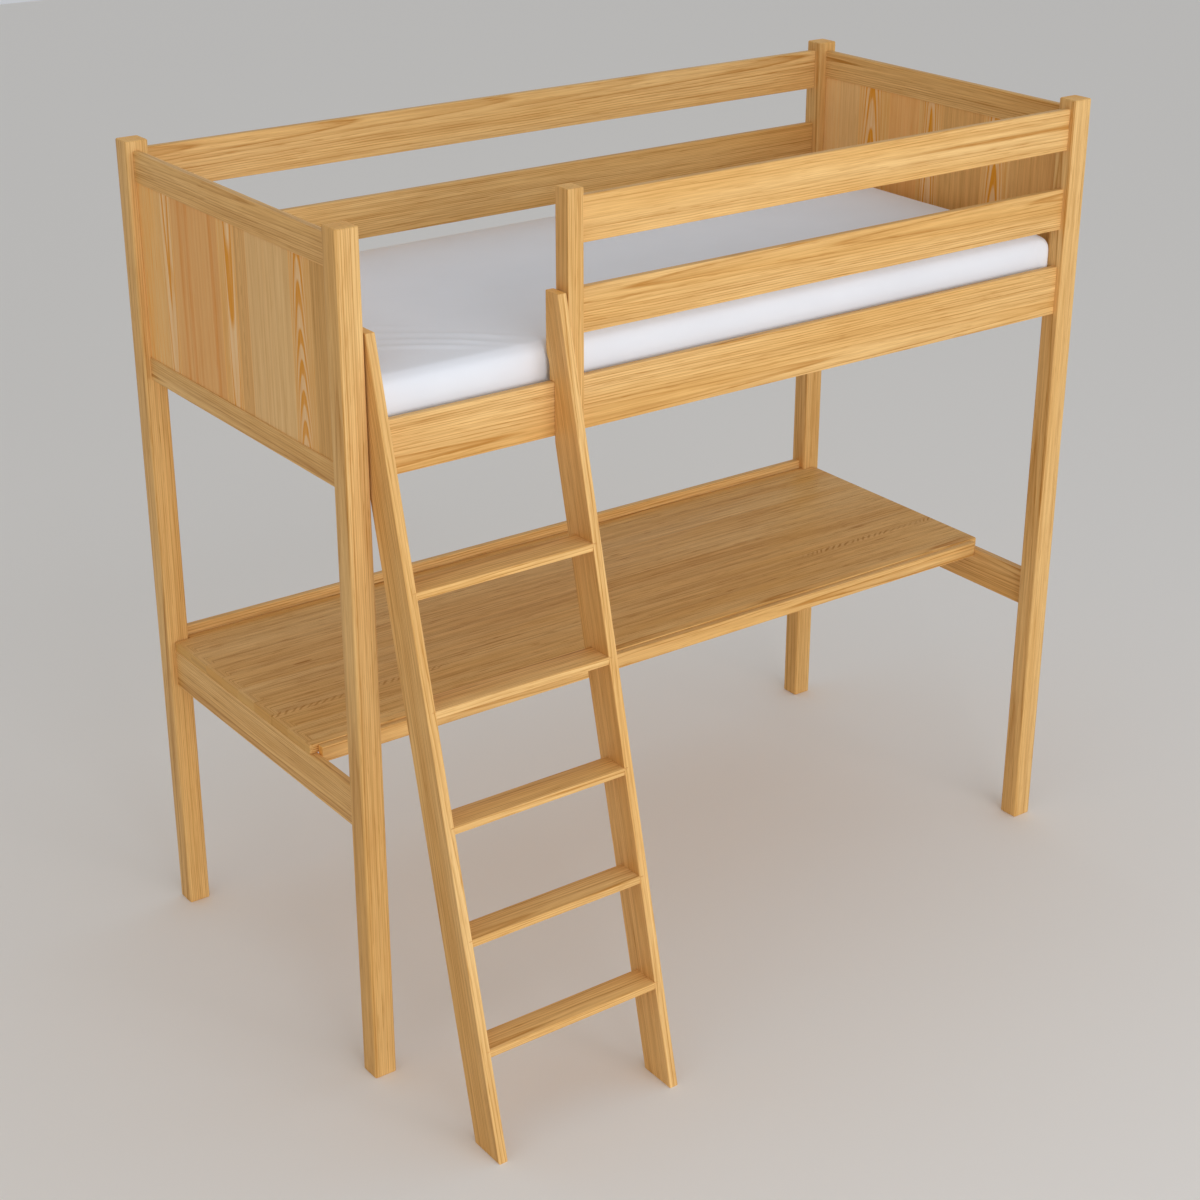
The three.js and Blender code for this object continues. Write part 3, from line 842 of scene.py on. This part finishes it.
def fill_out(points, low, high):
    """Lets the cover lean against the rails, and squares its corners towards the posts."""
    middle = np.array([(low.x + high.x) / 2, (low.y + high.y) / 2])
    half = np.array([(high.x - low.x) / 2, (high.y - low.y) / 2])
    offset = (points[:, :2] - middle) * (half + [END_FULLNESS, SIDE_FULLNESS]) / half
    straight = half - CORNER
    beyond = np.maximum(np.abs(offset) - straight, 0)
    diagonal = 2 * beyond[:, 0] * beyond[:, 1] / np.maximum(np.sum(beyond**2, axis=1), TINY)
    stretch = 1 + CORNER_FULLNESS * diagonal[:, None] ** 2
    filled = np.sign(offset) * (np.minimum(np.abs(offset), straight) + beyond * stretch)
    points[:, :2] = middle + filled


def keep_clear(points, node):
    """Presses the cover in where a post or a stile stands against it."""
    low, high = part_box(node)
    low = np.array(low[:2]) - CLEARANCE
    high = np.array(high[:2]) + CLEARANCE
    inside = np.all((points[:, :2] > low) & (points[:, :2] < high), axis=1)
    x, y = points[:, 0], points[:, 1]
    nearest = np.argmin(np.stack([x - low[0], high[0] - x, y - low[1], high[1] - y]), axis=0)
    for way, (axis, limit) in enumerate(((0, low[0]), (0, high[0]), (1, low[1]), (1, high[1]))):
        points[inside & (nearest == way), axis] = limit


def shape_mattress(obj, low, high):
    """Adds the folds and keeps the bottom flat and the sides clear of the frame and the ladder."""
    points = points_of(obj)
    fill_out(points, low, high)
    upper = np.clip((points[:, 2] - low.z) / (high.z - low.z), 0, 1) ** TOP_ONLY
    for start, end, height in FOLDS:
        points[:, 2] += upper * fold(points, low, start, end, height)
    points[:, 2] = np.maximum(points[:, 2], low.z + BOTTOM_LIFT)
    for node in NEIGHBOURS:
        keep_clear(points, node)
    set_points(obj, points)


def add_mattress():
    """The CAD block remeshed, swollen as cloth, smoothed and then fitted to its neighbours."""
    low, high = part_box("mattress")
    mattress = copy_of("mattress", "mattress_soft")
    remesh(mattress)
    shrink(mattress)
    swell(mattress)
    smoother = mattress.modifiers.new("smoother", "SUBSURF")
    smoother.levels = smoother.render_levels = 1
    apply_modifier(mattress, "smoother")
    shape_mattress(mattress, low, high)
    mattress.data.shade_smooth()
    mattress.data.materials.clear()
    mattress.data.materials.append(cover_cloth())
    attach(mattress, "mattress")
    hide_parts("mattress")


# ---- Materials and soft edges on the CAD pieces --------------------------------------------------

SMOOTH_BELOW = math.radians(40)


def smoothing_group():
    """Joins split corners, and rounds the shading where two faces meet at a small angle."""
    group = bpy.data.node_groups.new("smooth_small_angles", "GeometryNodeTree")
    group.interface.new_socket("Geometry", in_out="INPUT", socket_type="NodeSocketGeometry")
    group.interface.new_socket("Geometry", in_out="OUTPUT", socket_type="NodeSocketGeometry")
    start = group.nodes.new("NodeGroupInput").outputs[0]
    plain = group.nodes.new("GeometryNodeRemoveAttribute")
    plain.inputs["Name"].default_value = "custom_normal"
    merge = group.nodes.new("GeometryNodeMergeByDistance")
    merge.inputs["Distance"].default_value = WELD
    smooth = group.nodes.new("GeometryNodeSetShadeSmooth")
    angle = group.nodes.new("GeometryNodeInputMeshEdgeAngle")
    sharp = group.nodes.new("FunctionNodeCompare")
    sharp.operation = "GREATER_THAN"
    sharp.inputs["B"].default_value = SMOOTH_BELOW
    crease = group.nodes.new("GeometryNodeSetShadeSmooth")
    crease.domain = "EDGE"
    crease.inputs["Shade Smooth"].default_value = False
    end = group.nodes.new("NodeGroupOutput").inputs[0]
    for source, target in (
        (start, plain.inputs["Geometry"]),
        (plain.outputs["Geometry"], merge.inputs["Geometry"]),
        (merge.outputs["Geometry"], smooth.inputs["Geometry"]),
        (smooth.outputs["Geometry"], crease.inputs["Geometry"]),
        (angle.outputs["Unsigned Angle"], sharp.inputs["A"]),
        (sharp.outputs["Result"], crease.inputs["Selection"]),
        (crease.outputs["Geometry"], end),
    ):
        group.links.new(source, target)
    return group


GRAIN = {
    "post_": "z",
    "guard_post": "z",
    "side_rail": "x",
    "guard_rail": "x",
    "end_top_rail": "y",
    "end_bottom_rail": "y",
    "desk_top": "x",
    "desk_front_lip": "x",
    "desk_rail_back": "x",
    "desk_rail_left": "y",
    "desk_rail_right": "y",
    "ladder_tread": "x",
    "slat_cleat": "x",
    "slat_": "y",
}


def grain_of(node):
    """The direction of the longest matching name's grain."""
    matches = [start for start in GRAIN if node.startswith(start)]
    return GRAIN[max(matches, key=len)]


def dress_node(node, obj, smoothing, metal):
    if SLOTS[node] == "hardware":
        material = metal
    elif node.startswith("ladder_stile"):
        material = wood(leaning_board(node), PINE)
    elif node == "desk_top":
        material = wood(Board(node, "x"), DESK_PINE, bend=desk_bend, marks=desk_marks)
    else:
        look = BARE_PINE if SLOTS[node] == "pine_base" else PINE
        material = wood(Board(node, grain_of(node)), look)
    obj.data.materials.clear()
    obj.data.materials.append(material)
    soften = obj.modifiers.new("soften", "NODES")
    soften.node_group = smoothing


def dress_frame():
    """Materials and soft edges for every CAD piece but the mattress and the panels."""
    smoothing = smoothing_group()
    metal = zinc()
    for node, obj in frame["nodes"].items():
        if node != "mattress" and not node.startswith("end_panel"):
            dress_node(node, obj, smoothing, metal)


# ---- Floor and sizes -----------------------------------------------------------------------------


def add_floor():
    data = bpy.data.meshes.new("floor")
    corners = [(FLOOR_HALF * x, FLOOR_HALF * y, 0) for x, y in ((-1, -1), (1, -1), (1, 1), (-1, 1))]
    data.from_pydata(corners, [], [(0, 1, 2, 3)])
    floor = bpy.data.objects.new("floor", data)
    bpy.context.scene.collection.objects.link(floor)
    shader = Shader("floor")
    data.materials.append(shader.finish(Base_Color=FLOOR_COLOUR, Roughness=FLOOR_ROUGHNESS))


add_camera()
add_area_light("key", **KEY_LIGHT)
add_area_light("fill", **FILL_LIGHT)
add_sky()
add_floor()
dress_frame()
add_end_panel("left", LEFT_STAVES)
add_end_panel("right", RIGHT_STAVES)
add_mattress()
bpy.context.scene.view_settings.view_transform = "Standard"
